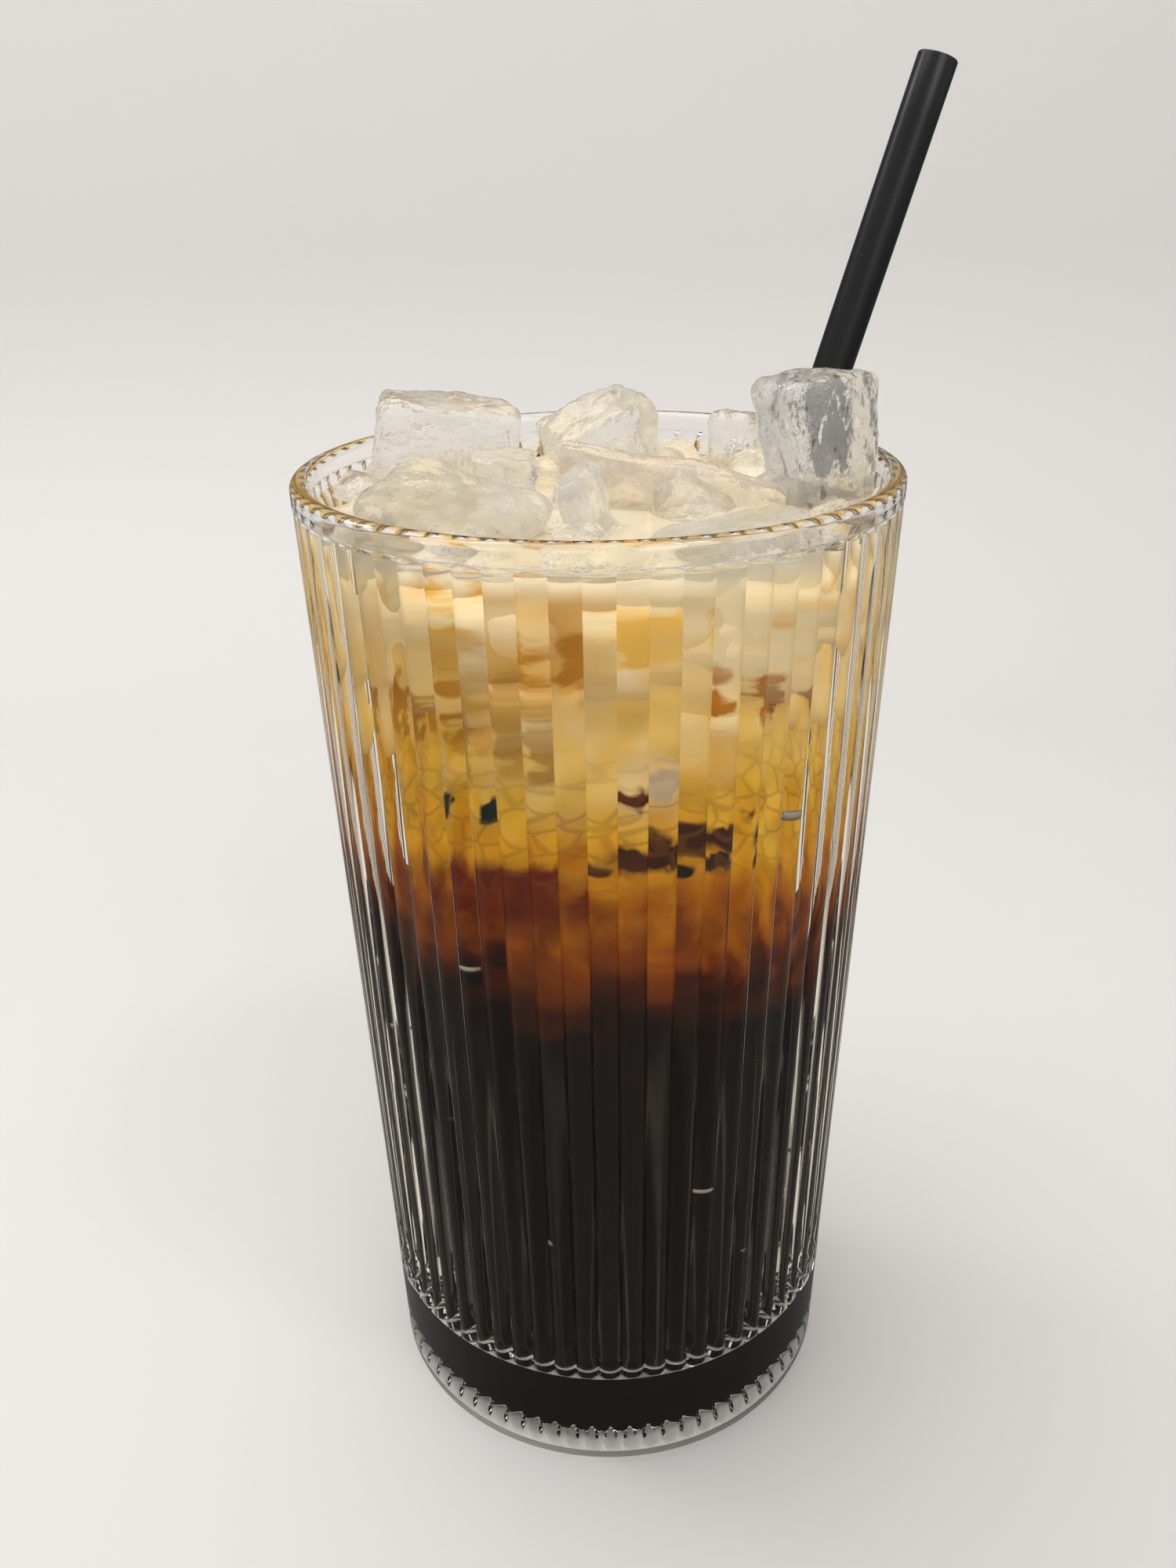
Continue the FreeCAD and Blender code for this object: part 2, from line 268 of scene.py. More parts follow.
def coffee_piece(material):
    """The body of coffee. It fills the glass up to the ragged top of the dark layer. Above that its side
    draws in, as a smooth step of the height over the ragged top, to a rippled core."""
    columns = 360
    angle = np.arange(columns) * 2 * math.pi / columns
    corner = np.linspace(0, 1, 8)[1:] ** 1.5 * FLOOR_ROUND + FLOOR_HEIGHT
    rise = np.concatenate([corner, np.linspace(FLOOR_HEIGHT + FLOOR_ROUND, GRADE_START, 10)[1:],
                           np.linspace(GRADE_START, CORE_TOP - 2, 70)[1:]])
    side = cavity_radius(rise) - floor_draw(rise)
    to_floor = np.clip((FLOOR_HEIGHT + FLOOR_ROUND - rise) / FLOOR_ROUND, 0, 1) ** 0.5
    side -= SKIN - (SKIN + INTO_WALL) * to_floor
    over = np.clip((rise[:, None] - ragged_top(angle)[None]) / GRADE_HEIGHT, 0, 1)
    step = over * over * (3 - 2 * over)
    grid = turned_grid(side, rise, columns)
    radius = side[:, None] - step * (CORE_INSET + 1.5 * ripple(grid, 12.0, 3))
    dome = np.linspace(0, math.pi / 2, 8)[1:-1]
    top_radius = radius[-1][None] - 2.0 * (1 - np.cos(dome))[:, None]
    top_height = rise[-1] + 2.0 * np.sin(dome)
    flat = np.linspace(1, 0.1, 8)[:, None] * top_radius[-1][None]
    under = np.linspace(0.1, 0.9, 5)[:, None] * radius[:1]
    radius = np.concatenate([under, radius, top_radius, flat[1:]])
    height = np.concatenate([np.full(5, FLOOR_HEIGHT), rise, top_height, np.full(7, CORE_TOP)])
    height -= INTO_WALL
    piece = turned_piece("coffee", radius, height, columns, material, 70.0)
    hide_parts("dark_coffee", "amber_coffee")


def clear_drink_piece(surface, skin):
    """The clear amber drink between the coffee and the glass, from the floor up to the surface, which climbs
    the wall in a small meniscus: an exponential of the distance to the wall."""
    columns = 360
    corner = np.linspace(0, 1, 8)[1:] ** 1.5 * FLOOR_ROUND + FLOOR_HEIGHT
    straight = np.linspace(FLOOR_HEIGHT + FLOOR_ROUND, DRINK_TOP + MENISCUS, 16)[1:]
    heights = np.concatenate([corner, straight])
    radii = cavity_radius(heights) + INTO_WALL - floor_draw(heights)
    reach = radii[-1]
    inward = np.concatenate([np.linspace(0, 4.0, 9)[1:], np.linspace(4.0, reach - 3.0, 6)[1:]])
    top = [(reach - d, DRINK_TOP + MENISCUS * math.exp(-d / MENISCUS_REACH)) for d in inward]
    floor_reach = cavity_radius(FLOOR_HEIGHT) - FLOOR_ROUND - 0.5
    bottom = [(r, FLOOR_HEIGHT + 0.4) for r in np.linspace(3.0, floor_reach, 6)]
    side = np.stack([radii, heights], -1)[1:]
    side[-1, 1] = DRINK_TOP + MENISCUS - INTO_WALL
    profile = np.concatenate([bottom, side, top])
    piece = turned_piece("clear_drink", profile[:, :1], profile[:, 1], columns, skin)
    piece.data.materials.append(surface)
    side_rows = len(bottom) + len(side) - 1
    assign_rows(piece, np.arange(len(profile) - 1) >= side_rows, columns, 0, 1)
    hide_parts("milky_coffee")


# ---------------------------------------------------------------- ice

TOP_WAVE = 0.8            # height of the ripples on the blocks that stand out of the drink
CUT_DEPTH = 0.4           # those blocks are cut off this far under its surface
STRAW_AT_TOP = (30.0, 16.0)
STRAW_ROOM = 9.0          # no crushed lump lies within this distance of the straw's place at the surface

# Blocks that stand out of the drink, as the solids have them, but the first two 1.3 higher: centre in shares
# of the cavity's radius at the lip and in millimetres above the drink; length, width and height; taper; turn,
# dip and roll in degrees; melt radius.
ICE = {
    "ice_right": (0.774, 0.026, 5.9, 13.6, 12.0, 20.0, 0.86, 33.0, -5.0, -3.0, 1.6),
    "ice_back_left": (-0.572, 0.259, 2.3, 20.0, 12.5, 20.0, 0.97, 8.0, 9.0, 0.0, 1.8),
    "ice_front_left": (-0.492, -0.392, -2.5, 22.0, 17.0, 16.0, 0.9, -26.0, 12.0, 10.0, 3.2),
    "ice_middle": (-0.35, -0.03, -0.6, 10.0, 7.5, 16.0, 0.9, 10.0, 8.0, 10.0, 1.5),
    "ice_slab": (0.22, -0.09, -3.5, 31.0, 3.5, 20.0, 0.97, -12.0, 11.0, 14.0, 0.9),
    "ice_lean": (-0.013, -0.401, -1.2, 3.0, 13.0, 17.0, 0.95, -14.0, -14.0, 0.0, 0.8),
    "ice_back": (0.039, 0.44, 1.4, 15.0, 11.0, 18.0, 0.9, 22.0, -20.0, 8.0, 1.6),
    "ice_mound": (0.53, 0.53, 0.0, 8.5, 10.0, 16.0, 0.95, -8.0, 0.0, -12.0, 2.4),
    "ice_front_right": (0.44, -0.57, -5.6, 19.0, 12.0, 16.0, 0.92, 20.0, -5.0, -6.0, 1.8),
}


def cube_grid(steps):
    """Points on the faces of a cube from -1 to 1 and its squares, pointing outwards, with shared edges."""
    line = np.linspace(-1, 1, steps + 1)
    u, v = (axis.ravel() for axis in np.meshgrid(line, line, indexing="ij"))
    corner = (np.arange(steps)[:, None] * (steps + 1) + np.arange(steps)[None]).ravel()
    square = np.stack([corner, corner + steps + 1, corner + steps + 2, corner + 1], -1)
    points, squares = [], []
    for axis in range(3):
        for side in (-1, 1):
            face = np.roll(np.stack([np.full_like(u, side), u, v], -1), axis, axis=1)
            squares.append((square if side > 0 else square[:, ::-1]) + len(points) * len(u))
            points.append(face)
    points = np.round(np.concatenate(points), 9)
    unique, inverse = np.unique(points, axis=0, return_inverse=True)
    return unique, inverse.reshape(-1)[np.concatenate(squares)]


def melted_block(cube, size, melt, taper, wave, seed):
    """A melted block: a cube's points drawn in to a box less the melt radius and pushed out by that radius,
    then narrowed downwards by the taper, and rippled along the outward direction."""
    half = np.array(size) / 2
    target = cube * half
    inner = np.clip(target, melt - half, half - melt)
    outward = target - inner
    outward /= np.linalg.norm(outward, axis=1, keepdims=True)
    points = inner + outward * melt
    points[:, :2] *= (1 - (1 - taper) * (0.5 - points[:, 2:] / size[2]))
    dents = ripple(points, max(size) * 0.9, seed, 4) + 0.5 * np.abs(ripple(points, 5.0, seed + 50, 3))
    return points + outward * (wave * dents - 0.2 * wave)[:, None]


def turned_matrix(turn, dip, roll):
    """Rotation by turn about Z, then dip about the block's own Y and roll about its own X, in degrees."""
    angles = [math.radians(angle) for angle in (turn, dip, roll)]
    pairs = zip(angles, "ZYX", strict=True)
    turned, dipped, rolled = (Matrix.Rotation(angle, 3, axis) for angle, axis in pairs)
    return np.array(turned @ dipped @ rolled)


def cut_at_surface(points, faces, keep_above):
    """The part of a closed block above or below the drink's surface, closed with a flat face."""
    body = bmesh.new()
    verts = [body.verts.new(point) for point in points.tolist()]
    for face in faces.tolist():
        body.faces.new([verts[k] for k in face])
    everything = body.verts[:] + body.edges[:] + body.faces[:]
    level = (0, 0, DRINK_TOP - CUT_DEPTH)
    bmesh.ops.bisect_plane(body, geom=everything, plane_co=level, plane_no=(0, 0, 1),
                           clear_inner=keep_above, clear_outer=not keep_above)
    rim = [edge for edge in body.edges if edge.is_boundary]
    if rim:
        bmesh.ops.triangle_fill(body, edges=rim, use_beauty=True, use_dissolve=False)
    bmesh.ops.recalc_face_normals(body, faces=body.faces[:])
    body.verts.index_update()
    kept = np.array([vert.co[:] for vert in body.verts])
    kept_faces = [[vert.index for vert in face.verts] for face in body.faces]
    body.free()
    return kept, kept_faces


def placed_block(values, cube, seed):
    """Points of one block of the table, where it floats."""
    across, back, above, length, width, height, taper, turn, dip, roll, melt = values
    inner_rim = RIM_RADIUS - LIP_THICKNESS
    centre = np.array([across * inner_rim, back * inner_rim, DRINK_TOP + above])
    block = melted_block(cube, (length, width, height), melt, taper, TOP_WAVE, seed)
    return block @ turned_matrix(turn, dip, roll).T + centre


def top_ice_pieces(clear, tinted):
    """The blocks that stand out of the drink, cut off just under its surface. tinted names the blocks whose
    ice is not clear and gives their materials. Returns what is below the surface."""
    cube, squares = cube_grid(26)
    below = []
    for seed, (name, values) in enumerate(ICE.items(), start=11):
        points = placed_block(values, cube, seed)
        top, top_faces = cut_at_surface(points, squares, True)
        piece = mesh_piece(name + "_top", top, top_faces, tinted.get(name, clear), 50.0)
        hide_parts(name)
        below.append(cut_at_surface(points, squares, False))
    return below


def joined(parts):
    """Points and faces of several meshes as one."""
    points, faces, start = [], [], 0
    for part_points, part_faces in parts:
        points.append(part_points)
        faces += [[start + k for k in face] for face in part_faces]
        start += len(part_points)
    return np.concatenate(points), faces


def sunk_ice_piece(below, material):
    """Ice under the surface: what hangs below the blocks on top, and more blocks in rings close to the wall,
    fewer of them lower down. The rings' blocks differ in size and lie at all angles."""
    cube, squares = cube_grid(12)
    rng = np.random.default_rng(21)
    parts = list(below)
    for ring_height, count, inset, first in ((134.0, 11, 1.0, 0.1), (123.0, 9, 2.0, 0.45)):
        for k in range(count):
            angle = (k + first + rng.uniform(-0.15, 0.15)) * 2 * math.pi / count
            size = rng.uniform(11.0, 18.0, 3)
            height = min(ring_height + rng.uniform(-4.0, 4.0), DRINK_TOP - 1.0 - size[2] * 0.62)
            distance = cavity_radius(height) - inset - size[1] * 0.56
            place = np.array([distance * math.sin(angle), -distance * math.cos(angle), height])
            turn = math.degrees(angle) + rng.uniform(-30, 30)
            block = melted_block(cube, size, 4.0, 0.9, 0.7, 100 + len(parts))
            block = block @ turned_matrix(turn, rng.uniform(-20, 20), rng.uniform(-15, 15)).T + place
            over = np.hypot(block[:, 0], block[:, 1]) / (cavity_radius(block[:, 2]) - 0.15)
            block[:, :2] /= np.maximum(over, 1)[:, None]
            parts.append((block, squares.tolist()))
    points, faces = joined(parts)
    mesh_piece("sunk_ice", points, faces, material, 60.0)


def crushed_ice_piece(material):
    """Small melted lumps that fill the surface between the large blocks: on rings that are fuller towards
    the wall, each lump a little off its place, turned at random, with no lump where the straw comes out."""
    cube, squares = cube_grid(9)
    rng = np.random.default_rng(8)
    parts = []
    for distance, count, top in ((33.0, 19, 1.6), (25.0, 12, 2.6), (15.0, 7, 3.0), (5.0, 3, 2.0)):
        for k in range(count):
            angle = (k + rng.uniform(-0.3, 0.3)) * 2 * math.pi / count
            size = rng.uniform(6.5, 11.5, 3)
            centre = np.array([distance * math.sin(angle), -distance * math.cos(angle),
                               DRINK_TOP + top + rng.uniform(-1.5, 1.0) - size[2] / 2])
            if np.hypot(centre[0] - STRAW_AT_TOP[0], centre[1] - STRAW_AT_TOP[1]) < STRAW_ROOM:
                continue
            turns = rng.uniform(-40, 40, 3)
            block = melted_block(cube, size, size.min() * 0.36, 0.95, 0.7, 300 + len(parts))
            block = block @ turned_matrix(*turns).T + centre
            over = np.hypot(block[:, 0], block[:, 1]) / (cavity_radius(block[:, 2]) - 0.2)
            block[:, :2] /= np.maximum(over, 1)[:, None]
            kept, kept_faces = cut_at_surface(block, squares, True)
            if len(kept):
                parts.append((kept, kept_faces))
    points, faces = joined(parts)
    mesh_piece("crushed_ice", points, faces, material, 60.0)


# Bubbles on the inside of the wall: angle from the front in degrees, height and radius in millimetres.
BUBBLES = [
    (42, 110.5, 0.75), (-16, 46.0, 0.4), (-11, 43.5, 0.5), (1, 45.5, 0.45), (-30, 90.0, 0.45),
    (-34, 88.0, 0.3), (-44, 61.0, 0.45), (24, 52.0, 0.35), (31, 66.0, 0.35), (-3, 22.5, 0.3),
    (-27, 39.0, 0.4), (36, 37.0, 0.35), (60, 49.0, 0.4), (-62, 72.0, 0.4), (130, 58.0, 0.45),
    (176, 84.0, 0.4), (-118, 47.0, 0.5), (-150, 92.0, 0.35),
]


def bubbles_piece(material):
    """Small balls near the inside of the wall: a cube's points brought to the same distance from its
    centre."""
    cube, squares = cube_grid(4)
    ball = cube / np.linalg.norm(cube, axis=1, keepdims=True)
    parts = []
    for degrees, height, size in BUBBLES:
        angle = math.radians(degrees)
        out = cavity_radius(height) - 0.3 - size * 0.7
        centre = [out * math.sin(angle), -out * math.cos(angle), height]
        parts.append((ball * size + centre, squares.tolist()))
    points, faces = joined(parts)
    mesh_piece("bubbles", points, faces, material, 180.0)


# ---------------------------------------------------------------- straw

STRAW_RADIUS = 2.8
STRAW_WALL = 0.45
STRAW_LENGTH = 192.5
STRAW_BEARING = math.radians(28.4)
STRAW_FOOT = (-11.5, -0.5)
STRAW_OFF_LIP = 0.45      # room between the straw and the inside of the lip
STRAW_OFF_FLOOR = 0.15


def straw_piece(material):
    """A tube carried along the straw's line: out along the outside, round the end, back along the bore, and
    round the other end. The line goes from the foot on the floor of the glass to the inside of the lip."""
    reach = RIM_RADIUS - LIP_THICKNESS - STRAW_RADIUS - STRAW_OFF_LIP
    bearing = (math.cos(STRAW_BEARING), math.sin(STRAW_BEARING))
    at_lip = np.array([reach * bearing[0], reach * bearing[1], GLASS_HEIGHT - 1.1])
    foot = np.array([*STRAW_FOOT, FLOOR_HEIGHT])
    axis = (at_lip - foot) / np.linalg.norm(at_lip - foot)
    foot[2] += STRAW_RADIUS * math.sqrt(1 - axis[2] ** 2) + STRAW_OFF_FLOOR
    axis_turn = np.array(Vector(axis).to_track_quat("Z", "Y").to_matrix())
    columns = 48
    edge = STRAW_WALL / 2
    end = STRAW_LENGTH - edge
    middle = STRAW_RADIUS - edge
    turn = np.linspace(0, math.pi, 7)
    along = np.concatenate([np.linspace(edge, end, 24), end + edge * np.sin(turn[1:]),
                            np.linspace(end, edge, 24)[1:], edge - edge * np.sin(turn[1:-1])])
    radius = np.concatenate([np.full(24, STRAW_RADIUS), middle + edge * np.cos(turn[1:]),
                             np.full(23, STRAW_RADIUS - STRAW_WALL), middle - edge * np.cos(turn[1:-1])])
    grid = turned_grid(radius, along, columns)
    rows = len(along)
    here = np.arange(rows)[:, None] * columns + np.arange(columns)[None]
    up = np.roll(here, -1, axis=0)
    faces = np.stack([here, np.roll(here, -1, 1), np.roll(up, -1, 1), up], -1).reshape(-1, 4)
    points = grid.reshape(-1, 3) @ axis_turn.T + foot
    piece = mesh_piece("drinking_straw", points, faces, material, 60.0)
    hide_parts("straw")


# ---------------------------------------------------------------- materials

class Number:
    """A number socket of a shader tree. Arithmetic on it adds Math nodes."""

    def __init__(self, shader, socket):
        self.shader = shader
        self.socket = socket

    def math(self, operation, *values):
        return self.shader.math(operation, *values)

    def __add__(self, other):
        return self.math("ADD", self, other)

    __radd__ = __add__

    def __sub__(self, other):
        return self.math("SUBTRACT", self, other)

    def __rsub__(self, other):
        return self.math("SUBTRACT", other, self)

    def __mul__(self, other):
        return self.math("MULTIPLY", self, other)

    __rmul__ = __mul__

    def __truediv__(self, other):
        return self.math("DIVIDE", self, other)

    def step(self, low, high):
        """0 below low, 1 above high, and a smooth step between them."""
        settings = {"interpolation_type": "SMOOTHSTEP"}
        node = self.shader.add("ShaderNodeMapRange", settings, self, low, high, 0.0, 1.0)
        return Number(self.shader, node.outputs[0])

    def root(self):
        return self.math("SQRT", self)

    def fraction(self):
        return self.math("FRACT", self)

    def near(self, centre, reach):
        """1 at centre, falling smoothly to 0 at the given distance from it."""
        away = self.math("ABSOLUTE", self - centre)
        return 1 - away.step(0.0, reach)


class Shader:
    """A material under construction."""

    def __init__(self, name):
        self.material = bpy.data.materials.new(name)
        self.material.use_nodes = True
        self.tree = self.material.node_tree
        self.tree.nodes.clear()
        self.output = self.tree.nodes.new("ShaderNodeOutputMaterial")

    def add(self, kind, settings=None, *values, **named):
        """Adds a node: its settings first, then its inputs in order or by name, each a value or a link."""
        node = self.tree.nodes.new(kind)
        for key, value in (settings or {}).items():
            setattr(node, key, value)
        by_name = ((key.replace("_", " "), value) for key, value in named.items())
        for key, value in [*enumerate(values), *by_name]:
            source = getattr(value, "socket", value)
            if isinstance(source, bpy.types.NodeSocket):
                self.tree.links.new(source, node.inputs[key])
            else:
                node.inputs[key].default_value = source
        return node

    def place(self):
        """The point on the piece, in metres."""
        return self.add("ShaderNodeTexCoord").outputs["Object"]

    def math(self, operation, *values):
        """A Math node on numbers."""
        return Number(self, self.add("ShaderNodeMath", {"operation": operation}, *values).outputs[0])

    def split(self, point):
        """The three numbers of a point."""
        return [Number(self, output) for output in self.add("ShaderNodeSeparateXYZ", None, point).outputs]

    def noise(self, point, scale, detail=3.0, stretch=(1, 1, 1), move=(0, 0, 0), distortion=0.0):
        """Noise between 0 and 1 on a stretched and moved point."""
        mapped = self.add("ShaderNodeMapping", None, Vector=point, Scale=stretch, Location=move).outputs[0]
        node = self.add("ShaderNodeTexNoise", None, Vector=mapped, Scale=scale, Detail=detail,
                        Distortion=distortion)
        return Number(self, node.outputs[0])

    def mix(self, share, first, second):
        """first where share is 0, second where it is 1: colours of three numbers, or links."""
        node = self.add("ShaderNodeMix", {"data_type": "RGBA"}, share)
        for slot, colour in ((6, first), (7, second)):
            if isinstance(colour, bpy.types.NodeSocket):
                self.tree.links.new(colour, node.inputs[slot])
            else:
                node.inputs[slot].default_value = (*colour, 1.0)
        return node.outputs[2]

    def ramp(self, value, stops):
        """A colour for a number: stops are (place, colour) in order."""
        node = self.add("ShaderNodeValToRGB", None, value)
        elements = node.color_ramp.elements
        while len(elements) < len(stops):
            elements.new(0.5)
        for element, (place, colour) in zip(elements, stops, strict=True):
            element.position = place
            element.color = (*colour, 1.0)
        return node.outputs[0]

    def bump(self, height, distance):
        """A normal from a height between 0 and 1 that stands for the given distance."""
        return self.add("ShaderNodeBump", None, Height=height, Distance=distance).outputs[0]

    def finish(self, surface):
        """Links the surface shader and gives the material."""
        self.tree.links.new(surface, self.output.inputs["Surface"])
        return self.material

    def lets_lamps_through(self, surface, tint):
        """The surface for sight, and a plain see-through one of the given tint for the rays that lamps
        send."""
        lamp_ray = self.add("ShaderNodeLightPath").outputs["Is Shadow Ray"]
        open_to_lamps = self.add("ShaderNodeBsdfTransparent", None, (*tint, 1.0)).outputs[0]
        return self.add("ShaderNodeMixShader", None, lamp_ray, surface, open_to_lamps).outputs[0]


def glass_material(name, ior):
    """Clear pressed glass, faintly wavy, with a slight haze of handling. ior is that of glass against what
    it touches: air, or the drink."""
    s = Shader(name)
    p = s.place()
    waves = s.noise(p, 60.0, 2.0, stretch=(1, 1, 0.35))
    haze = s.noise(p, 220.0, 4.0)
    bsdf = s.add("ShaderNodeBsdfPrincipled", None, Base_Color=(0.985, 0.975, 0.957, 1), IOR=ior,
                 Transmission_Weight=1.0, Roughness=0.01 + 0.03 * haze, Normal=s.bump(waves, 0.0002))
    return s.finish(s.lets_lamps_through(bsdf.outputs[0], (0.93, 0.93, 0.92)))


def clear_drink_material(name, ior):
    """Coffee thinned with melted ice: clear, with an amber tint. ior is that of the drink against what it
    touches: air, or nothing at the wall, where the glass does the bending."""
    s = Shader(name)
    p = s.place()
    thin = s.noise(p, 90.0, 2.0)
    tint = s.mix(thin, (1.0, 0.97, 0.88), (1.0, 0.95, 0.82))
    bsdf = s.add("ShaderNodeBsdfPrincipled", None, Base_Color=tint, IOR=ior, Transmission_Weight=1.0,
                 Roughness=0.0, Normal=s.bump(thin, 0.0002))
    return s.finish(s.lets_lamps_through(bsdf.outputs[0], (0.99, 0.96, 0.88)))


# Darker and richer places in the drink, in millimetres: across, height, half width, half height, colour.
STAINS = [
    (8.2, 109.5, 8.0, 2.0, (0.050, 0.014, 0.008)),
    (3.0, 108.5, 3.4, 1.9, (0.070, 0.022, 0.008)),
    (12.5, 111.0, 4.6, 1.8, (0.055, 0.016, 0.010)),
    (10.8, 105.0, 1.2, 1.2, (0.020, 0.012, 0.012)),
    (13.6, 106.0, 1.7, 1.8, (0.040, 0.020, 0.020)),
    (3.6, 119.6, 1.8, 1.5, (0.080, 0.012, 0.006)),
    (7.0, 120.2, 1.5, 2.6, (0.550, 0.430, 0.300)),
    (-16.0, 115.0, 1.9, 1.5, (0.012, 0.020, 0.014)),
    (-12.5, 102.5, 10.5, 4.5, (0.150, 0.020, 0.004)),
    (-19.5, 129.0, 1.9, 7.0, (0.520, 0.230, 0.015)),
    (-17.0, 138.5, 2.2, 5.0, (0.660, 0.370, 0.050)),
    (-12.5, 128.5, 2.5, 7.0, (0.560, 0.310, 0.060)),
    (-7.6, 126.0, 1.4, 4.6, (0.500, 0.280, 0.060)),
    (-5.2, 134.5, 1.9, 4.2, (0.500, 0.220, 0.020)),
    (6.0, 139.0, 4.2, 3.6, (0.700, 0.420, 0.080)),
    (16.0, 131.0, 1.7, 5.6, (0.480, 0.180, 0.012)),
    (22.6, 130.5, 1.2, 3.4, (0.380, 0.140, 0.015)),
    (-24.0, 127.0, 1.6, 4.6, (0.520, 0.240, 0.020)),
]


def drink_colour(s, p, pale=0.0):
    """Colour of the coffee with height: near black, then red-brown and orange-brown, amber, and pale at the
    top. The height is shifted by noise, and by a slope that puts the dark coffee higher on the left. Then
    come the stains, at the front of the glass, with ragged edges."""
    x, y, z = s.split(p)
    cloud = s.noise(p, 120.0, 4.0, stretch=(1, 1, 0.6), distortion=0.6)
    fine = s.noise(p, 330.0, 3.0, move=(0.2, 0.5, 0.1))
    shifted = z + 0.004 + 0.12 * x + 0.034 * (cloud - 0.5) + pale
    colour = s.ramp((shifted - 0.080) / 0.065, [
        (0.00, (0.005, 0.002, 0.001)),
        (0.11, (0.010, 0.004, 0.002)),
        (0.19, (0.052, 0.010, 0.001)),
        (0.28, (0.200, 0.044, 0.002)),
        (0.38, (0.440, 0.140, 0.004)),
        (0.48, (0.680, 0.310, 0.010)),
        (0.60, (0.820, 0.480, 0.050)),
        (0.76, (0.860, 0.570, 0.160)),
        (0.92, (0.800, 0.580, 0.270)),
        (1.00, (0.780, 0.640, 0.400)),
    ])
    streaks = s.noise(p, 170.0, 3.0, stretch=(1, 1, 0.18), move=(0.1, 0.4, 0.3))
    colour = s.mix(streaks.step(0.5, 0.75) * z.step(0.108, 0.122) * 0.6, colour, (0.86, 0.76, 0.58))
    ambers = s.noise(p, 75.0, 3.0, stretch=(1, 1, 0.7), move=(0.5, 0.2, 0.6), distortion=0.8)
    colour = s.mix(ambers.step(0.54, 0.66) * z.step(0.100, 0.110) * 0.6, colour, (0.680, 0.340, 0.020))
    colour = s.mix(z.step(0.1405, 0.1440), colour, (0.640, 0.590, 0.500))
    wander_x = x + 0.007 * (fine - 0.5)
    wander_z = z + 0.011 * (cloud - 0.5) + 0.004 * (fine - 0.5)
    front = 1 - y.step(-0.012, 0.0)
    for across, height, half_width, half_height, stain in STAINS:
        dx = (wander_x - across * MM) / (half_width * MM)
        dz = (wander_z - (height - 2.0) * MM) / (1.15 * half_height * MM)
        inside = 1 - (dx * dx + dz * dz).root().step(0.7, 1.25)
        colour = s.mix(inside * front, colour, stain)
    return colour


def coffee_material():
    """The graded coffee, with soft swirls, faint glints of light that the ribs throw on the dark part,
    painted into its colour, the edges of ice cells as thin darker lines in the amber part, and a faint
    painted glow of its own colour that lifts its shade."""
    s = Shader("graded_coffee")
    p = s.place()
    x, y, z = s.split(p)
    squat = s.add("ShaderNodeMapping", None, Vector=p, Scale=(1, 1, 1.25)).outputs[0]
    cells = s.add("ShaderNodeTexVoronoi", {"feature": "DISTANCE_TO_EDGE"}, Vector=squat, Scale=230.0)
    edge = 1 - Number(s, cells.outputs["Distance"]).step(0.02, 0.10)
    colour = s.mix(edge * z.near(0.110, 0.016) * 0.35, drink_colour(s, p), (0.230, 0.100, 0.015))
    share = (s.math("ARCTAN2", x, 0 - y) * (RIB_COUNT / (2 * math.pi)) + 0.5).fraction()
    glint = s.math("ABSOLUTE", share - 0.5).near(0.25, 0.05)
    breaks = s.noise(p, 60.0, 3.0, stretch=(1, 1, 0.3)).step(0.35, 0.6)
    glint = glint * (1 - z.step(0.068, 0.084)) * (0.15 + 0.5 * breaks)
    colour = s.mix(glint, colour, (0.075, 0.062, 0.050))
    # Painted light: the emission gives the coffee a faint glow of its own colour, which lifts its shaded
    # parts.
    bsdf = s.add("ShaderNodeBsdfPrincipled", None, Base_Color=colour, Roughness=0.6, Specular_IOR_Level=0.0,
                 Emission_Color=colour, Emission_Strength=0.09)
    return s.finish(bsdf.outputs[0])


def sunk_ice_material():
    """Cloudy ice in the drink: it takes the drink's colours a little paler, with a rippled surface and a
    faint painted glow of its own colour that lifts its shade.
    """
    s = Shader("cloudy_ice_in_drink")
    p = s.place()
    cloud = s.noise(p, 130.0, 4.0)
    colour = s.mix(cloud.step(0.40, 0.70) * 0.25, drink_colour(s, p, 0.002), (0.80, 0.70, 0.50))
    # Painted light: the emission gives the ice a faint glow of its own colour, which lifts the shade under
    # and between the blocks.
    bsdf = s.add("ShaderNodeBsdfPrincipled", None, Base_Color=colour, Roughness=0.35, Specular_IOR_Level=0.2,
                 Emission_Color=colour, Emission_Strength=0.13, Normal=s.bump(s.noise(p, 300.0, 4.0), 0.0003))
    return s.finish(bsdf.outputs[0])


def top_ice_material(name, clear, stained):
    """Wet ice: clear, with a milky haze, the stained colour where coffee stands in it, a few dark specks on
    the right, and a rippled surface."""
    s = Shader(name)
    p = s.place()
    x, _, z = s.split(p)
    swell = s.noise(p, 110.0, 3.0)
    melt = s.noise(p, 260.0, 4.0)
    cracks = s.noise(p, 900.0, 3.0)
    low = 1 - z.step(0.1455, 0.1530)
    coffee = s.noise(p, 70.0, 3.0, move=(0.2, 0.7, 0.1)).step(0.45, 0.62)
    colour = s.mix(low * coffee * 0.8, clear, stained)
    specks = s.noise(p, 700.0, 2.0, stretch=(1, 1, 0.5)).step(0.60, 0.64) * x.step(0.022, 0.026)
    colour = s.mix(specks * 0.7, colour, (0.06, 0.05, 0.05))
    relief = swell * 0.8 + melt * 0.35 + cracks * 0.06
    bsdf = s.add("ShaderNodeBsdfPrincipled", None, Base_Color=colour, IOR=1.31, Transmission_Weight=0.81,
                 Roughness=0.01 + 0.03 * melt, Normal=s.bump(relief, 0.0024))
    return s.finish(s.lets_lamps_through(bsdf.outputs[0], (0.9, 0.9, 0.88)))


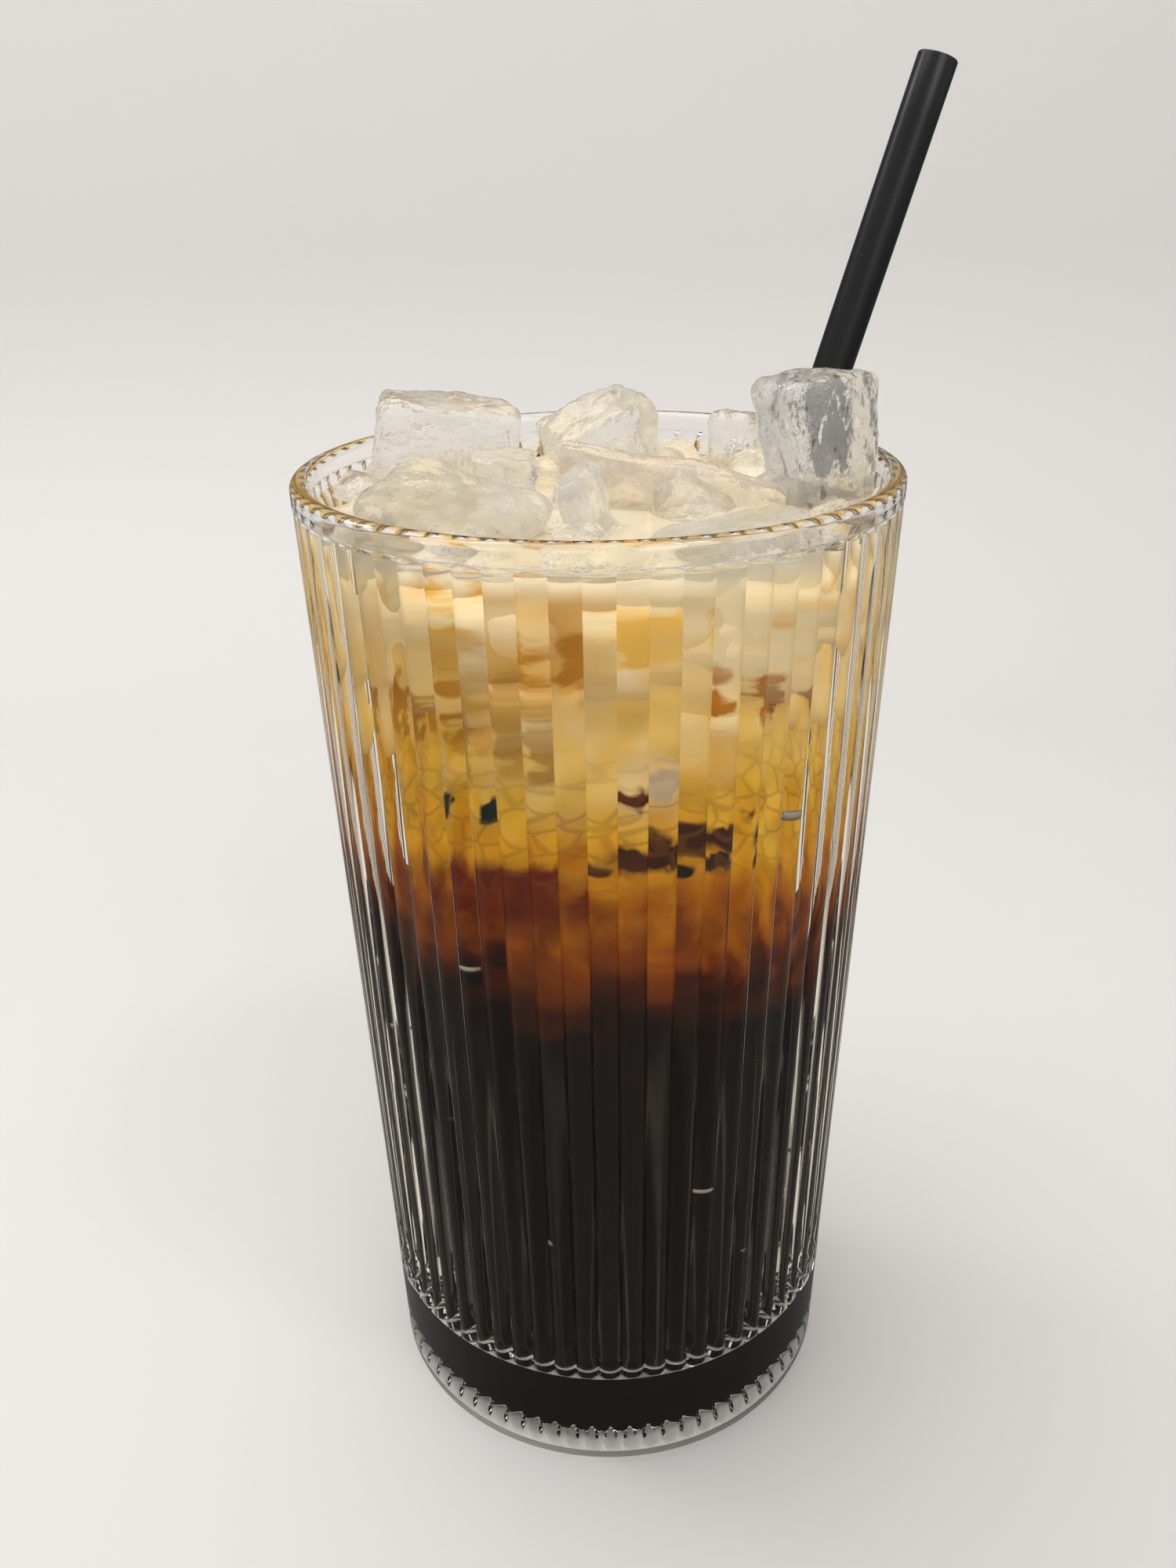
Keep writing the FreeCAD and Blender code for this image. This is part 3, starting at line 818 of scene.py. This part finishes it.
def bubble_material():
    """Bubbles as painted highlights: a pale colour, uneven in brightness, that stands in for the light the
    bubbles reflect.
    """
    s = Shader("bubble_painted_highlight")
    p = s.place()
    # Painted highlight: the pale colour stands in for the light that a bubble reflects.
    colour = s.mix(s.noise(p, 900.0, 2.0).step(0.4, 0.6), (0.06, 0.05, 0.045), (0.40, 0.36, 0.31))
    return s.finish(s.add("ShaderNodeBsdfPrincipled", None, Base_Color=colour, Roughness=0.2).outputs[0])


def straw_material():
    """Black satin plastic with faint lines drawn along the tube and a few specks of dust."""
    s = Shader("black_straw_plastic")
    p = s.place()
    lines = s.noise(p, 900.0, 2.0, stretch=(1, 1, 0.05))
    specks = s.noise(p, 1500.0, 1.0).step(0.80, 0.84)
    colour = s.mix(specks, s.mix(lines, (0.003, 0.003, 0.003), (0.006, 0.006, 0.007)), (0.25, 0.24, 0.23))
    bsdf = s.add("ShaderNodeBsdfPrincipled", None, Base_Color=colour, Roughness=0.28 + 0.12 * lines)
    return s.finish(bsdf.outputs[0])


def floor_material():
    """Plain pale surface, which shows only weakly as a mirror image in the glass."""
    s = Shader("pale_table")
    rays = s.add("ShaderNodeLightPath").outputs
    mirrored = Number(s, rays["Is Glossy Ray"]) * (1 - Number(s, rays["Is Transmission Ray"]))
    colour = s.mix(mirrored, (0.80, 0.78, 0.76), (0.15, 0.147, 0.144))
    bsdf = s.add("ShaderNodeBsdfPrincipled", None, Base_Color=colour, Roughness=0.6)
    return s.finish(bsdf.outputs[0])


# ---------------------------------------------------------------- stage

def stage():
    """A pale table that sweeps up into a backdrop: a flat run, a quarter circle and an upright run, in one
    strip. Its sizes are in metres."""
    turn = np.linspace(0, math.pi / 2, 13)
    sweep, back, front, top, half_width = 0.15, 0.42, -1.5, 1.6, 1.6
    y = np.concatenate([[front], back - sweep + sweep * np.sin(turn), [back]])
    z = np.concatenate([[0.0], sweep - sweep * np.cos(turn), [top]])
    points = np.array([(x, b, c) for b, c in zip(y, z, strict=True) for x in (-half_width, half_width)])
    faces = [(2 * k, 2 * k + 1, 2 * k + 3, 2 * k + 2) for k in range(len(y) - 1)]
    mesh = bpy.data.meshes.new("table")
    mesh.from_pydata(points.tolist(), [], faces)
    mesh.shade_smooth()
    mesh.materials.append(floor_material())
    table = bpy.data.objects.new("table", mesh)
    bpy.context.scene.collection.objects.link(table)


def lamp(name, place, target, width, strength):
    """A soft square lamp that looks at a point."""
    data = bpy.data.lights.new(name, "AREA")
    data.size = width
    data.energy = strength
    light = bpy.data.objects.new(name, data)
    bpy.context.scene.collection.objects.link(light)
    direction = Vector(target) - Vector(place)
    aim = direction.to_track_quat("-Z", "Y").to_matrix().to_4x4()
    light.matrix_world = Matrix.Translation(place) @ aim


def lights():
    """Soft light from above and in front, two small lamps for sparkle, and an even pale surround, which is
    paler for the rays of the camera."""
    lamp("above", (-0.25, 0.05, 1.0), (0, 0, 0.08), 0.8, 4.6)
    lamp("front", (0.5, -0.9, 0.7), (0, 0, 0.08), 0.6, 2.2)
    lamp("sparkle", (0.30, -0.25, 0.75), (0, 0, 0.12), 0.10, 0.6)
    lamp("edge", (-0.50, 0.25, 0.55), (0, 0, 0.12), 0.14, 0.5)
    world = bpy.data.worlds.new("surround")
    world.use_nodes = True
    tree = world.node_tree
    light = tree.nodes["Background"]
    light.inputs["Color"].default_value = (1.0, 0.985, 0.965, 1)
    light.inputs["Strength"].default_value = 0.46
    seen = tree.nodes.new("ShaderNodeBackground")
    seen.inputs["Color"].default_value = (1.0, 0.98, 0.955, 1)
    seen.inputs["Strength"].default_value = 0.76
    rays = tree.nodes.new("ShaderNodeLightPath")
    either = tree.nodes.new("ShaderNodeMixShader")
    tree.links.new(rays.outputs["Is Camera Ray"], either.inputs[0])
    tree.links.new(light.outputs[0], either.inputs[1])
    tree.links.new(seen.outputs[0], either.inputs[2])
    tree.links.new(either.outputs[0], tree.nodes["World Output"].inputs["Surface"])
    bpy.context.scene.world = world


def camera():
    """The camera: in front of the glass and above it, looking down on it."""
    data = bpy.data.cameras.new("camera")
    data.sensor_width = 36.0
    data.lens = 31.5
    view = bpy.data.objects.new("camera", data)
    bpy.context.scene.collection.objects.link(view)
    place = Matrix.Translation((0.0, -0.18644, 0.18962))
    turn = Matrix.Rotation(math.radians(0.635), 4, "Z")
    tilt = Matrix.Rotation(math.radians(64.837), 4, "X")
    roll = Matrix.Rotation(math.radians(-1.085), 4, "Z")
    view.matrix_world = place @ turn @ tilt @ roll
    bpy.context.scene.camera = view


def main():
    """Makes the camera, the object's pieces, the stage and the lights."""
    camera()
    glass_piece(glass_material("clear_pressed_glass", 1.5), glass_material("glass_against_drink", 1.125))
    coffee_piece(coffee_material())
    surface = clear_drink_material("drink_surface", 1.333)
    clear_drink_piece(surface, clear_drink_material("drink_at_the_wall", 1.0))
    clear_ice = top_ice_material("wet_ice", (1.0, 0.982, 0.95), (0.97, 0.90, 0.74))
    amber_ice = top_ice_material("amber_wet_ice", (0.985, 0.97, 0.93), (0.94, 0.80, 0.54))
    brown_ice = top_ice_material("brown_wet_ice", (0.96, 0.90, 0.86), (0.95, 0.88, 0.78))
    tinted = {"ice_front_left": amber_ice, "ice_slab": brown_ice}
    below = top_ice_pieces(clear_ice, tinted)
    crushed_ice_piece(clear_ice)
    bubbles_piece(bubble_material())
    sunk_ice_piece(below, sunk_ice_material())
    straw_piece(straw_material())
    stage()
    lights()
    bpy.context.scene.view_settings.view_transform = "Standard"


main()
